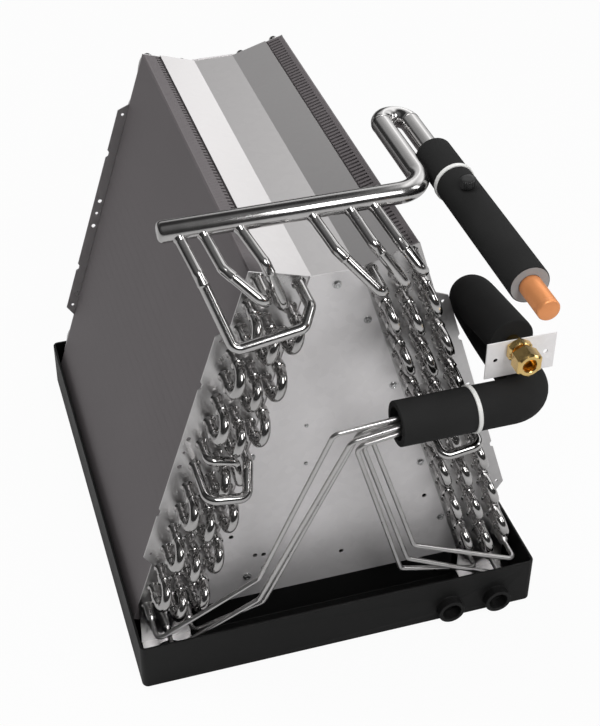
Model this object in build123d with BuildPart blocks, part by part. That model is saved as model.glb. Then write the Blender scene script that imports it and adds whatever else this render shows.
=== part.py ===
from build123d import *
import os
from math import atan2, cos, degrees, hypot, pi, radians, sin

# A-coil evaporator: two finned slabs leaning together over a drain pan, with the
# suction header, the liquid distributor and their insulated lines at the front.
# Millimetres. X runs across the pan, Y from the connections to the back, Z up.
# The origin is the centre of the pan's air opening, on the face that the pan rests on.

# ---- Driving dimensions -------------------------------------------------------------
pan_width = 400.0           # outside, across X
pan_depth = 486.0           # outside, along Y
pan_height = 53.0
pan_wall = 2.5
tube_pitch = 25.4           # between tubes of one row
row_pitch = 19.05           # between rows
rows = 3
tubes_per_row = 16
tube_diameter = 9.52        # 3/8 in, return bends and suction branches
slab_tilt = 17.25           # degrees from upright
slab_foot_height = 37.6     # lower outer edge of a slab above the pan's underside
slab_clearance = 1.1        # between that edge and the pan's wall
front_trough = 52.3         # from the pan's front to the outer faces of the front tube sheets
rear_trough = 24.3          # from the outer faces of the rear tube sheets to the pan's back
sheet = 1.2                 # tube sheets, plates and baffle
suction_diameter = 19.05    # 3/4 in header and suction line
feeder_diameter = 4.76      # 3/16 in distributor tubes
liquid_diameter = 9.52      # 3/8 in liquid line
suction_foam_diameter = 34.0
liquid_foam_diameter = 41.0
header_setback = 20.7       # the header's axis behind the front tube sheets
header_rise = 39.3          # the header's axis above the slabs' top edges

# ---- Sizes that follow ----------------------------------------------------------------
slab_length = tubes_per_row * tube_pitch
slab_thickness = rows * row_pitch
tilt_sin = sin(radians(slab_tilt))
tilt_cos = cos(radians(slab_tilt))
slab_top_x = pan_width / 2 - pan_wall - slab_clearance - slab_length * tilt_sin
slab_top_z = slab_foot_height + slab_length * tilt_cos
coil_front = front_trough - pan_depth / 2
coil_back = pan_depth / 2 - rear_trough
coil_length = coil_back - coil_front
header_y = coil_front + header_setback
header_z = slab_top_z + header_rise
LEFT, RIGHT = -1, 1
OUTER, MIDDLE, INNER = 0, 1, 2


def on_slab(side, depth, drop):
    """X and Z of a point on a slab's end, from its depth below the outer face and its
    drop from the top face."""
    across = slab_top_x - depth * tilt_cos + drop * tilt_sin
    return side * across, slab_top_z - depth * tilt_sin - drop * tilt_cos


def tube_place(side, row, number):
    """X and Z of a tube, counted from the top; the middle row sits half a pitch lower."""
    stagger = 0.75 if row == MIDDLE else 0.25
    return on_slab(side, (row + 0.5) * row_pitch, (number + stagger) * tube_pitch)


def tube(route, diameter, bend_radius, sides=8):
    """A tube along straight runs joined by bends of one radius."""
    with BuildPart() as run:
        with BuildLine():
            path = FilletPolyline(*route, radius=bend_radius)
        with BuildSketch(Plane(origin=path @ 0, z_dir=path % 0)):
            if sides:
                RegularPolygon(diameter / 2, sides)
            else:
                Circle(diameter / 2)
        sweep(path=path)
    return run.part


def sleeve(route, outer_diameter, inner_diameter, bend_radius):
    """A foam tube along straight runs joined by bends of one radius."""
    with BuildPart() as run:
        with BuildLine():
            path = FilletPolyline(*route, radius=bend_radius) if len(route) > 2 else Line(*route)
        with BuildSketch(Plane(origin=path @ 0, z_dir=path % 0)):
            Circle(outer_diameter / 2)
            Circle(inner_diameter / 2, mode=Mode.SUBTRACT)
        sweep(path=path)
    return run.part


def save(part, name):
    part.label = name
    export_step(part, f"parts/{name}.step")


os.makedirs("parts", exist_ok=True)

# ---- Drain pan --------------------------------------------------------------------------
# A moulded square trough: an outer wall, a floor and a lower riser round the air opening.
riser_height = 42.0
riser_gap = 0.6             # between a riser and the slab's inner face above it
riser_half = on_slab(RIGHT, slab_thickness, slab_length)[0]
riser_half -= (riser_height - on_slab(RIGHT, slab_thickness, slab_length)[1]) * tilt_sin / tilt_cos
riser_half -= riser_gap
port_diameter = 27.0
port_bore = 19.0            # 3/4 in drain thread
port_length = 9.0
port_height = 16.0
port_places = (pan_width / 2 - 89, pan_width / 2 - 39.5)
opening_width = 2 * (riser_half - pan_wall)
opening_depth = coil_length - 2 * pan_wall
coil_middle = coil_front + coil_length / 2

with BuildPart() as drain_pan:
    with BuildSketch():
        RectangleRounded(pan_width, pan_depth, 6)
    extrude(amount=pan_height)
    with BuildSketch(Plane.XY.offset(pan_wall)):
        RectangleRounded(pan_width - 2 * pan_wall, pan_depth - 2 * pan_wall, 6 - pan_wall)
        with Locations((0, coil_middle)):
            Rectangle(2 * riser_half, coil_length, mode=Mode.SUBTRACT)
    extrude(amount=pan_height, mode=Mode.SUBTRACT)
    with BuildSketch(Plane.XY.offset(riser_height)):
        with Locations((0, coil_middle)):
            Rectangle(2 * riser_half, coil_length)
    extrude(amount=pan_height, mode=Mode.SUBTRACT)
    with BuildSketch():
        with Locations((0, coil_middle)):
            Rectangle(opening_width, opening_depth)
    extrude(amount=pan_height, mode=Mode.SUBTRACT)
    # The two female drain ports on the front wall.
    with BuildSketch(Plane.XZ.offset(pan_depth / 2 - pan_wall)):
        with Locations(*[(x, port_height) for x in port_places]):
            Circle(port_diameter / 2)
    extrude(amount=port_length + pan_wall)
    with BuildSketch(Plane.XZ.offset(pan_depth / 2 - 2 * pan_wall)):
        with Locations(*[(x, port_height) for x in port_places]):
            Circle(port_bore / 2)
    extrude(amount=port_length + 3 * pan_wall, mode=Mode.SUBTRACT)
save(drain_pan.part, "drain_pan")

# ---- Slabs --------------------------------------------------------------------------------
# Each fin pack is one block between its tube sheets, and each tube sheet is a plate with a
# flange outside the fins, a narrow lap inside them and a foot standing in the pan.
fin_front = coil_front + sheet
fin_length = coil_length - 2 * sheet
flange = 10.5               # beyond the outer face
lap = 8.0                   # beyond the inner face
flange_top, flange_bottom = 68.0, 323.5
flange_chamfer = 9.0
notch_depth, notch_length = 2.2, 9.0
notch_drops = (121.0, 268.0)
flange_holes = ((72.0, 3.2), (180.0, 4.5), (195.5, 3.2), (212.0, 4.5), (319.0, 3.2))
foot_shelf = 20.0           # the foot's turned-out flange, lying on the pan's floor
foot_inner_x = riser_half + 6.4
foot_notch = 15.0
shin_drop = slab_length - 22.35     # where the sheet's outer edge turns straight down


def sheet_outline(side):
    """Corners of a tube sheet, down the outer edge and back up the inner one."""
    edge = [on_slab(side, 0, 0), on_slab(side, 0, flange_top - flange_chamfer)]
    edge.append(on_slab(side, -flange, flange_top))
    for drop in notch_drops:
        edge.append(on_slab(side, -flange, drop - notch_length / 2))
        edge.append(on_slab(side, notch_depth - flange, drop - notch_length / 2 + notch_depth))
        edge.append(on_slab(side, notch_depth - flange, drop + notch_length / 2 - notch_depth))
        edge.append(on_slab(side, -flange, drop + notch_length / 2))
    edge.append(on_slab(side, -flange, flange_bottom))
    edge.append(on_slab(side, 0, flange_bottom + flange_chamfer))
    shin = on_slab(side, 0, shin_drop)
    edge.append(shin)
    edge.append((shin[0], pan_wall))
    edge.append((side * foot_inner_x, pan_wall))
    ankle_height = riser_height + riser_gap
    ankle_drop = (slab_top_z - (slab_thickness + lap) * tilt_sin - ankle_height) / tilt_cos
    edge.append((side * foot_inner_x, ankle_height))
    edge.append(on_slab(side, slab_thickness + lap, ankle_drop))
    edge.append(on_slab(side, slab_thickness + lap, lap))
    edge.append(on_slab(side, slab_thickness, 0))
    return edge


def tube_sheet(side, face, outward):
    """A tube sheet whose outer face is at Y = face; outward is the way that face looks."""
    shin_x = side * on_slab(side, 0, shin_drop)[0]
    shelf_middle = side * (shin_x + foot_inner_x) / 2
    with BuildPart() as plate:
        with BuildSketch(Plane.XZ.offset(-face)):
            with BuildLine():
                Polyline(*sheet_outline(side), close=True)
            make_face()
            for drop, hole in flange_holes:
                with Locations(on_slab(side, -flange / 2 + 1, drop)):
                    Circle(hole / 2, mode=Mode.SUBTRACT)
        extrude(amount=sheet * outward)
        with BuildSketch(Plane.XY.offset(pan_wall)):
            with Locations((shelf_middle, face + outward * foot_shelf / 2)):
                Rectangle(shin_x - foot_inner_x, foot_shelf)
            with Locations((shelf_middle, face + outward * foot_shelf)):
                Circle(foot_notch, mode=Mode.SUBTRACT)
        extrude(amount=sheet)
    return plate.part


def fin_pack(side):
    with BuildPart() as pack:
        with BuildSketch(Plane.XZ.offset(-fin_front)):
            with BuildLine():
                Polyline(on_slab(side, 0, 0), on_slab(side, 0, slab_length),
                         on_slab(side, slab_thickness, slab_length),
                         on_slab(side, slab_thickness, 0), close=True)
            make_face()
        extrude(amount=-fin_length)
    return pack.part


for side, name in ((LEFT, "left"), (RIGHT, "right")):
    save(fin_pack(side), f"{name}_fin_pack")
    save(tube_sheet(side, coil_front, -1), f"{name}_front_tube_sheet")
    save(tube_sheet(side, coil_back, 1), f"{name}_rear_tube_sheet")

# ---- Return bends -------------------------------------------------------------------------
# A bend joins two neighbours of one row. Its curve is in flat facets, because there are
# so many of them.
front_stub = 22.0
rear_stub = 4.0
curve_facets = 4


def return_bend(side, row, upper, face, outward, stub, sides):
    """A U of tube from tube number upper to the next one down."""
    top, low = tube_place(side, row, upper), tube_place(side, row, upper + 1)
    middle = ((top[0] + low[0]) / 2, (top[1] + low[1]) / 2)
    half = ((top[0] - low[0]) / 2, (top[1] - low[1]) / 2)
    radius = tube_pitch / 2
    route = [(top[0], face, top[1])]
    for step in range(curve_facets + 1):
        turn = pi * step / curve_facets
        route.append((middle[0] + half[0] * cos(turn),
                      face + outward * (stub + radius * sin(turn)),
                      middle[1] + half[1] * cos(turn)))
    route.append((low[0], face, low[1]))
    with BuildPart() as bend:
        with BuildLine() as line:
            Polyline(*route)
        with BuildSketch(Plane(origin=route[0], z_dir=(0, outward, 0))):
            RegularPolygon(tube_diameter / 2, sides)
        sweep(path=line.line, transition=Transition.RIGHT)
    return bend.part


crossed = 7                 # the outer and inner rows swap over between this tube and the next
for side, name in ((LEFT, "left"), (RIGHT, "right")):
    with BuildPart() as front_bends:
        for row in (OUTER, MIDDLE, INNER):
            for upper in range(1, tubes_per_row - 2, 2):
                if upper != crossed or row == MIDDLE:
                    add(return_bend(side, row, upper, coil_front, -1, front_stub, 8))
    save(front_bends.part, f"{name}_return_bends")
    with BuildPart() as rear_bends:
        for row in (OUTER, MIDDLE, INNER):
            for upper in range(0, tubes_per_row, 2):
                add(return_bend(side, row, upper, coil_back, 1, rear_stub, 6))
    save(rear_bends.part, f"{name}_hairpin_bends")

# ---- Crossover tubes ----------------------------------------------------------------------
# The outer crossover hangs below and in front of the inner one.
outer_reach = coil_front - 48
inner_reach = coil_front - 24
crossover_stub = 22
for side, name in ((LEFT, "left"), (RIGHT, "right")):
    low_outer, high_inner = tube_place(side, OUTER, crossed + 1), tube_place(side, INNER, crossed)
    high_outer, low_inner = tube_place(side, OUTER, crossed), tube_place(side, INNER, crossed + 1)
    dip = on_slab(side, 2.4 * row_pitch, (crossed + 1.05) * tube_pitch)
    ride = on_slab(side, 1.785 * row_pitch, (crossed + 0.25) * tube_pitch)
    save(tube([(low_outer[0], coil_front, low_outer[1]), (low_outer[0], outer_reach, low_outer[1]),
               (dip[0], outer_reach, dip[1]), (high_inner[0], coil_front - crossover_stub, high_inner[1]),
               (high_inner[0], coil_front, high_inner[1])], tube_diameter, 9), f"{name}_crossover_lower")
    save(tube([(high_outer[0], coil_front, high_outer[1]), (high_outer[0], inner_reach, high_outer[1]),
               (ride[0], inner_reach, ride[1]), (low_inner[0], inner_reach, low_inner[1]),
               (low_inner[0], coil_front, low_inner[1])], tube_diameter, 6), f"{name}_crossover_upper")

# ---- Delta plates and top baffle ----------------------------------------------------------
plate_lap = 1.6             # over the inner face of a slab, beside the inner row of tubes
plate_bottom = riser_height - 4
baffle_lift = sheet         # the baffle's upper face above the slabs' top faces
flap_depth = 19.2           # from a slab's outer face to the edge of the baffle
washer_radius, screw_radius = 4.2, 3.4
washer_height, screw_height = 1.0, 2.2
plate_hole_radius = 2.4
# Beside a slab, by side, distance in from its inner face and drop; the others by X and Z.
screws_by_slab = ((RIGHT, 7.0, 55.2), (LEFT, 7.0, 55.2), (RIGHT, 3.8, 196.8), (LEFT, 3.8, 196.8),
                  (RIGHT, 3.1, 332.8), (LEFT, 3.1, 332.8), (RIGHT, 4.2, 248.7), (RIGHT, 4.7, 140.7))
middle_screws = ((1.7, 398.0), (-24.0, 245.0), (-24.0, 198.5))
holes_by_slab = ((LEFT, 12.2, 295.5), (RIGHT, 11.4, 294.6), (LEFT, 43.7, 318.4), (LEFT, 52.1, 317.0))
middle_holes = ((13.8, 72.0), (-66.0, 72.0))


def plate_places(by_slab, middle):
    """X and Z of the screws or holes of a delta plate."""
    return [on_slab(side, slab_thickness + inward, drop) for side, inward, drop in by_slab] + list(middle)


screw_places = plate_places(screws_by_slab, middle_screws)


def delta_plate(face, outward, holes):
    """The plate that closes the A, lying against the tube sheets' outer faces."""
    edge_depth = slab_thickness - plate_lap
    top = on_slab(RIGHT, edge_depth, lap)
    foot_drop = (slab_top_z - edge_depth * tilt_sin - plate_bottom) / tilt_cos
    foot = on_slab(RIGHT, edge_depth, foot_drop)
    with BuildPart() as plate:
        with BuildSketch(Plane.XZ.offset(-face)):
            with BuildLine():
                Polyline(top, foot, (-foot[0], foot[1]), (-top[0], top[1]), close=True)
            make_face()
            for place in holes:
                with Locations(place):
                    Circle(plate_hole_radius, mode=Mode.SUBTRACT)
        extrude(amount=-sheet * outward)
    return plate.part


save(delta_plate(coil_front, -1, plate_places(holes_by_slab, middle_holes)), "front_delta_plate")
save(delta_plate(coil_back, 1, ()), "rear_delta_plate")

with BuildPart() as top_baffle:
    with BuildSketch(Plane.XZ.offset(-coil_front)):
        with BuildLine():
            edge = on_slab(RIGHT, flap_depth, 0)
            edge_top = on_slab(RIGHT, flap_depth, -baffle_lift)
            fold = on_slab(RIGHT, slab_thickness, 0)
            fold_top = on_slab(RIGHT, slab_thickness, -baffle_lift)
            Polyline(edge, edge_top, fold_top, (-fold_top[0], fold_top[1]), (-edge_top[0], edge_top[1]),
                     (-edge[0], edge[1]), (-fold[0], fold[1]), fold, close=True)
        make_face()
    extrude(amount=-coil_length)
save(top_baffle.part, "top_baffle")

with BuildPart() as sheet_screws:
    with BuildSketch(Plane.XZ.offset(-coil_front + sheet)):
        with Locations(*screw_places):
            Circle(washer_radius)
    extrude(amount=washer_height)
    with BuildSketch(Plane.XZ.offset(-coil_front + sheet + washer_height)):
        with Locations(*screw_places):
            RegularPolygon(screw_radius, 6)
    extrude(amount=screw_height)
save(sheet_screws.part, "sheet_screws")

# ---- Suction side ---------------------------------------------------------------------------
header_left = -slab_top_x - 71.1
suction_return_x = slab_top_x + 12.1    # the header's run to the back
suction_x = suction_return_x + 27       # the insulated run to the front
suction_z = header_z - 2.5
turn_y = header_y + 113
sleeve_back = turn_y - 58
sleeve_front = coil_front - 129.3
tie_place = sleeve_back - 49
stub_inset = 20.0           # of the copper stub inside the sleeve
stub_shoulder_y = sleeve_front - 0.6
stub_end_y = sleeve_front - 35.5
spigot_radius = 9.0
stub_fillet = 1.5
suction_foam_radius = suction_foam_diameter / 2
branch_bend = 8.0
outer_branch_reach = 44.0
middle_branch_reach = 27.0
branch_joint_y, branch_joint_z = header_y - 35, header_z - 22

with BuildPart() as suction_header:
    with BuildLine() as line:
        FilletPolyline((header_left, header_y, header_z), (suction_return_x, header_y, header_z),
                       (suction_return_x, turn_y, header_z), radius=26)
    with BuildSketch(Plane(origin=(header_left, header_y, header_z), z_dir=(1, 0, 0))):
        Circle(suction_diameter / 2)
    sweep(path=line.line)
save(suction_header.part, "suction_header")

# The return bend leans a little, because the insulated run lies lower than the header.
turn_across, turn_drop = suction_x - suction_return_x, header_z - suction_z
turn_radius = hypot(turn_across, turn_drop) / 2
with BuildPart() as suction_u_bend:
    with BuildLine() as line:
        CenterArc((0, 0, 0), turn_radius, 0, 180)
    with BuildSketch(Plane(origin=(turn_radius, 0, 0), z_dir=(0, 1, 0))):
        Circle(suction_diameter / 2)
    sweep(path=line.line)
u_bend_place = Location((suction_return_x + turn_across / 2, turn_y, header_z - turn_drop / 2),
                        (0, degrees(atan2(turn_drop, turn_across)), 0))
save(suction_u_bend.part.moved(u_bend_place), "suction_u_bend")

with BuildPart() as suction_line:
    with BuildSketch(Plane(origin=(suction_x, turn_y, suction_z), z_dir=(0, -1, 0))):
        Circle(suction_diameter / 2)
    extrude(amount=turn_y - sleeve_front - stub_inset)
save(suction_line.part, "suction_line")

# The copper stub has a thinner spigot inside the sleeve and its full diameter outside it.
with BuildPart() as suction_stub:
    with BuildSketch(Plane(origin=(suction_x, sleeve_front + stub_inset, suction_z), z_dir=(0, -1, 0))):
        Circle(spigot_radius)
    extrude(amount=sleeve_front + stub_inset - stub_shoulder_y)
    with BuildSketch(Plane(origin=(suction_x, stub_shoulder_y, suction_z), z_dir=(0, -1, 0))):
        Circle(suction_diameter / 2)
    extrude(amount=stub_shoulder_y - stub_end_y)
    fillet(suction_stub.faces().sort_by(Axis.Y)[0].edges(), stub_fillet)
save(suction_stub.part, "suction_stub")

# Branches, from the header's front side to the uppermost tube of each row. Their starts and
# joints are set off from the X of that tube.
branches = (
    (LEFT, INNER, -99.7, -89.7),
    (LEFT, OUTER, -43.3, -32.3),
    (LEFT, MIDDLE, -27.8, -11.8),
    (RIGHT, INNER, -51.3, -36.3),
    (RIGHT, MIDDLE, -40.2, -26.2),
    (RIGHT, OUTER, -33.7, -18.7),
)
for number, (side, row, start, joint) in enumerate(branches, 1):
    x, z = tube_place(side, row, 0)
    route = [(x + start, header_y, header_z), (x + joint, branch_joint_y, branch_joint_z)]
    if number == 1:
        # This one swings below the other two and comes up to the inner row.
        route += [(x - 69.7, coil_front - 50, z - 19), (x - 10.5, coil_front - 50, z - 9),
                  (x, coil_front - 34, z)]
    elif row == MIDDLE:
        route += [(x + 3.3, coil_front - middle_branch_reach, z + 1), (x, coil_front - 6, z)]
    else:
        route += [(x, coil_front - outer_branch_reach, z)]
    route += [(x, coil_front, z)]
    with BuildPart() as branch:
        add(tube(route, tube_diameter, branch_bend))
        add(suction_header.part, mode=Mode.SUBTRACT)
    save(branch.part, f"suction_branch_{number}")

# Insulation, its tie and the service port on the suction line.
tie_width, tie_thickness = 4.0, 1.3
tie_lock_depth, tie_lock_width = 5.0, 7.0
save(sleeve([(suction_x, sleeve_back, suction_z), (suction_x, tie_place, suction_z)],
            suction_foam_diameter, suction_diameter, 0), "suction_sleeve_short")
port_y, port_lean, port_radius = tie_place - 34, 8.0, 4.0
cap_radius, cap_skirt, cap_crown = 7.2, 4.5, 3.5
port_stem = suction_foam_radius + 5     # from the suction line's axis
cap_foot = port_stem - cap_skirt
port_axis = (-sin(radians(port_lean)), 0, cos(radians(port_lean)))
port_plane = Plane(origin=(suction_x, port_y, suction_z), z_dir=port_axis)
with BuildPart() as suction_sleeve_long:
    add(sleeve([(suction_x, tie_place, suction_z), (suction_x, sleeve_front, suction_z)],
               suction_foam_diameter, suction_diameter, 0))
    with BuildSketch(port_plane):
        Circle(port_radius)
    extrude(amount=suction_foam_diameter, mode=Mode.SUBTRACT)
save(suction_sleeve_long.part, "suction_sleeve_long")
with BuildPart() as service_port:
    with BuildSketch(port_plane):
        Circle(port_radius)
    extrude(amount=port_stem)
    add(suction_line.part, mode=Mode.SUBTRACT)
save(service_port.part, "service_port")
with BuildPart() as service_port_cap:
    with BuildSketch(port_plane.offset(cap_foot)):
        Circle(cap_radius)
        Circle(port_radius, mode=Mode.SUBTRACT)
    extrude(amount=cap_skirt)
    with BuildSketch(port_plane.offset(port_stem)):
        Circle(cap_radius)
    extrude(amount=cap_crown)
save(service_port_cap.part, "service_port_cap")


def cable_tie(origin, axis, foam_radius):
    """A band round a foam sleeve, with its square lock."""
    band_plane = Plane(origin=origin, x_dir=(0, 0, 1), z_dir=axis)
    with BuildPart() as tie:
        with BuildSketch(band_plane.offset(-tie_width / 2)):
            Circle(foam_radius + tie_thickness)
            Circle(foam_radius, mode=Mode.SUBTRACT)
        extrude(amount=tie_width)
        with BuildSketch(band_plane.offset(-tie_width / 2 - 1)):
            with Locations((-foam_radius - tie_lock_depth / 2, 0)):
                Rectangle(tie_lock_depth, tie_lock_width)
        extrude(amount=tie_width + 2)
    return tie.part


save(cable_tie((suction_x, tie_place, suction_z), (0, -1, 0), suction_foam_radius), "suction_cable_tie")

# ---- Liquid side ----------------------------------------------------------------------------
run_y, run_z = coil_front - 71.3, 291.0     # the insulated run across the front
run_left, distributor_left, liquid_start = 34.5, 58.0, 90.0
liquid_tie_x = 104.0
lower_x = pan_width / 2 - 37                # the run to the back
upper_x, upper_z = pan_width / 2 - 60, 338.0
fitting_x, fitting_z = pan_width / 2 - 53, 342.0    # the fitting that the line comes forward to
liquid_turn_y = coil_front + 36.7
connection_y = coil_front - 60.3
liquid_bend = 22.0
distributor_bore = 30.0
distributor_face, distributor_neck = 15.0, 7.0
liquid_foam_radius = liquid_foam_diameter / 2

liquid_route = [(liquid_start, run_y, run_z), (lower_x, run_y, run_z), (lower_x, liquid_turn_y, run_z),
                (upper_x, liquid_turn_y, upper_z), (fitting_x, connection_y + 14, fitting_z),
                (fitting_x, connection_y + 3, fitting_z)]
liquid_sleeve_end = (fitting_x, connection_y + 11, fitting_z)
save(tube(liquid_route, liquid_diameter, liquid_bend, sides=0), "liquid_line")
save(sleeve([(run_left, run_y, run_z), (liquid_tie_x, run_y, run_z)], liquid_foam_diameter,
            distributor_bore, 0), "distributor_sleeve")
save(sleeve([(liquid_tie_x, run_y, run_z)] + liquid_route[1:5] + [liquid_sleeve_end], liquid_foam_diameter,
            liquid_diameter, liquid_bend), "liquid_line_sleeve")
save(cable_tie((liquid_tie_x, run_y, run_z), (1, 0, 0), liquid_foam_radius), "distributor_cable_tie")

with BuildPart() as distributor:
    with BuildSketch(Plane.XY):
        with BuildLine():
            Polyline((distributor_left, 0), (distributor_left, distributor_face),
                     (distributor_left + 13, distributor_face), (distributor_left + 25, distributor_neck),
                     (liquid_start, distributor_neck), (liquid_start, 0), close=True)
        make_face()
    revolve(axis=Axis.X)
save(distributor.part.moved(Location((0, run_y, run_z))), "distributor")

# Feeder tubes: from six places on the distributor's face to the lowest tube of each row.
feeder_circle = 7.0
feeder_bend = 8.0
feeder_straight = 6.0
left_ends = [tube_place(LEFT, row, tubes_per_row - 1) for row in (OUTER, MIDDLE, INNER)]
right_ends = [tube_place(RIGHT, row, tubes_per_row - 1) for row in (OUTER, MIDDLE, INNER)]
low_y = coil_front - 43.8
back_y = coil_front - 33.3
feeders = (
    (90, (-22, run_y, 293), (-82, low_y, 106), low_y, left_ends[0]),
    (150, (-8, run_y - 6, 286), (-82, low_y, 78), low_y, left_ends[1]),
    (30, (3, run_y + 6, 283), (-76, back_y - 4, 66), back_y, left_ends[2]),
    (330, (13, run_y + 8, 280), (72, low_y, 105), low_y, right_ends[0]),
    (270, (4, run_y, 275.5), (66, low_y, 89), low_y, right_ends[1]),
    (210, (-4, run_y - 6, 279), (60, low_y, 77), back_y, right_ends[2]),
)
for number, (angle, top, bottom, turn_back_y, (end_x, end_z)) in enumerate(feeders, 1):
    start = (distributor_left, run_y + feeder_circle * cos(radians(angle)),
             run_z + feeder_circle * sin(radians(angle)))
    route = [start, (distributor_left - feeder_straight, start[1], start[2]), top, bottom,
             (end_x, turn_back_y, end_z), (end_x, coil_front, end_z)]
    save(tube(route, feeder_diameter, feeder_bend, sides=6), f"feeder_tube_{number}")

# Connection plate with the flare union through it and its nut.
plate_x, plate_z = fitting_x + 4, fitting_z - 10
plate_width, plate_height = 65.0, 38.0
hole_spacing = 47.0
plate_screw_radius = 2.2
neck_radius = 6.4
neck_back, neck_length = 10.0, 24.0
union_flats, union_length = 20.6, 8.0
union_bore = 3.2
nut_flats, nut_back, nut_length = 22.2, 12.5, 15.5
with BuildPart() as connection_plate:
    with BuildSketch(Plane.XZ.offset(-connection_y)):
        with Locations((plate_x, plate_z)):
            Rectangle(plate_width, plate_height)
            with GridLocations(hole_spacing, 0, 2, 1):
                Circle(plate_screw_radius, mode=Mode.SUBTRACT)
        with Locations((fitting_x, fitting_z)):
            Circle(neck_radius, mode=Mode.SUBTRACT)
    extrude(amount=sheet)
save(connection_plate.part, "connection_plate")

fitting_plane = Plane(origin=(fitting_x, connection_y, fitting_z), x_dir=(1, 0, 0), z_dir=(0, -1, 0))
with BuildPart() as flare_union:
    with BuildSketch(fitting_plane.offset(-neck_back)):
        Circle(neck_radius)
    extrude(amount=neck_length)
    with BuildSketch(fitting_plane.offset(sheet)):
        RegularPolygon(union_flats / 2, 6, major_radius=False)
    extrude(amount=union_length)
    with BuildSketch(fitting_plane.offset(-neck_back)):
        Circle(liquid_diameter / 2)
    extrude(amount=neck_back - 2, mode=Mode.SUBTRACT)
    with BuildSketch(fitting_plane.offset(4)):
        Circle(union_bore)
    extrude(amount=neck_length, mode=Mode.SUBTRACT)
save(flare_union.part, "flare_union")

with BuildPart() as flare_nut:
    with BuildSketch(fitting_plane.offset(nut_back)):
        RegularPolygon(nut_flats / 2, 6, major_radius=False)
        Circle(neck_radius, mode=Mode.SUBTRACT)
    extrude(amount=nut_length)
save(flare_nut.part, "flare_nut")
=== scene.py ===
from math import cos, pi, radians, sin, tan

import bpy
import bmesh
import numpy as np
from mathutils import Matrix, Vector


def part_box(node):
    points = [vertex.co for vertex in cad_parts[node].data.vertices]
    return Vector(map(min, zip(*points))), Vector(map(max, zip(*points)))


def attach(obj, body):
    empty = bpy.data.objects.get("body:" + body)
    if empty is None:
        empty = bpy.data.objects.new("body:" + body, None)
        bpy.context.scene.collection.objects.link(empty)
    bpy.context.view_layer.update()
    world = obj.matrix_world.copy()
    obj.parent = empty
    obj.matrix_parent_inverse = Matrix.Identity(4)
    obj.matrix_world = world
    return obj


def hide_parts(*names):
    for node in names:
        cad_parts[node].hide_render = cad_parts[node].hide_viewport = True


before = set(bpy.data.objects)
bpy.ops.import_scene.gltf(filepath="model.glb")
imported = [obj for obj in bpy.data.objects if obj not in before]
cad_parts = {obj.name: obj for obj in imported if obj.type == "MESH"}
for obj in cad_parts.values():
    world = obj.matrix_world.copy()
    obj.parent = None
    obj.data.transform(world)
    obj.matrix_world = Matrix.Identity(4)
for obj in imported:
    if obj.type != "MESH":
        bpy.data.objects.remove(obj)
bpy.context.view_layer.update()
mm = 0.001

# ---- Sizes of the coil ----------------------------------------------------------------
pan_low, pan_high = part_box("drain_pan")
fins_low, fins_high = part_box("left_fin_pack")
tube_pitch = 25.4 * mm
row_pitch = 19.05 * mm
rows, tubes_per_row = 3, 16
slab_length = tubes_per_row * tube_pitch
slab_thickness = rows * row_pitch
slab_tilt = radians(17.25)
tilt_sin, tilt_cos = sin(slab_tilt), cos(slab_tilt)
slab_top_z = fins_high.z
slab_top_x = -fins_low.x - slab_length * tilt_sin
sheet = 1.2 * mm
coil_front = fins_low.y - sheet
coil_back = fins_high.y + sheet
tube_radius = 4.76 * mm
feeder_radius = 2.38 * mm
suction_radius = 9.525 * mm
suction_foam_radius = 17.0 * mm
liquid_foam_radius = 20.5 * mm
LEFT, RIGHT = -1, 1
OUTER, MIDDLE, INNER = 0, 1, 2
SIDES = ((LEFT, "left"), (RIGHT, "right"))


def on_slab(side, depth, drop):
    """X and Z on a slab's end: depth is measured in from the outer face and drop down from the
    top face, both along the leaning slab."""
    across = slab_top_x - depth * tilt_cos + drop * tilt_sin
    return side * across, slab_top_z - depth * tilt_sin - drop * tilt_cos


def tube_place(side, row, number):
    """X and Z of a tube: rows are row_pitch apart, and the middle row sits half a pitch lower."""
    stagger = 0.75 if row == MIDDLE else 0.25
    return on_slab(side, (row + 0.5) * row_pitch, (number + stagger) * tube_pitch)


# ---- Shader expressions -----------------------------------------------------------------
class Value:
    """A socket that takes part in arithmetic: each operator adds a Math node."""

    def __init__(self, finish, socket):
        self.finish, self.socket = finish, socket

    def maths(self, operation, *others):
        return self.finish.node("ShaderNodeMath", {"operation": operation}, (self,) + others)

    def __add__(self, other):
        return self.maths("ADD", other)

    def __mul__(self, other):
        return self.maths("MULTIPLY", other)

    def __sub__(self, other):
        return self.maths("SUBTRACT", other)

    def __rsub__(self, other):
        return self.finish.node("ShaderNodeMath", {"operation": "SUBTRACT"}, (other, self))

    def __gt__(self, other):
        return self.maths("GREATER_THAN", other)

    __radd__, __rmul__ = __add__, __mul__

    def clamped(self):
        """Held between 0 and 1."""
        return self.maths("MINIMUM", 1.0).maths("MAXIMUM", 0.0)


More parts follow.
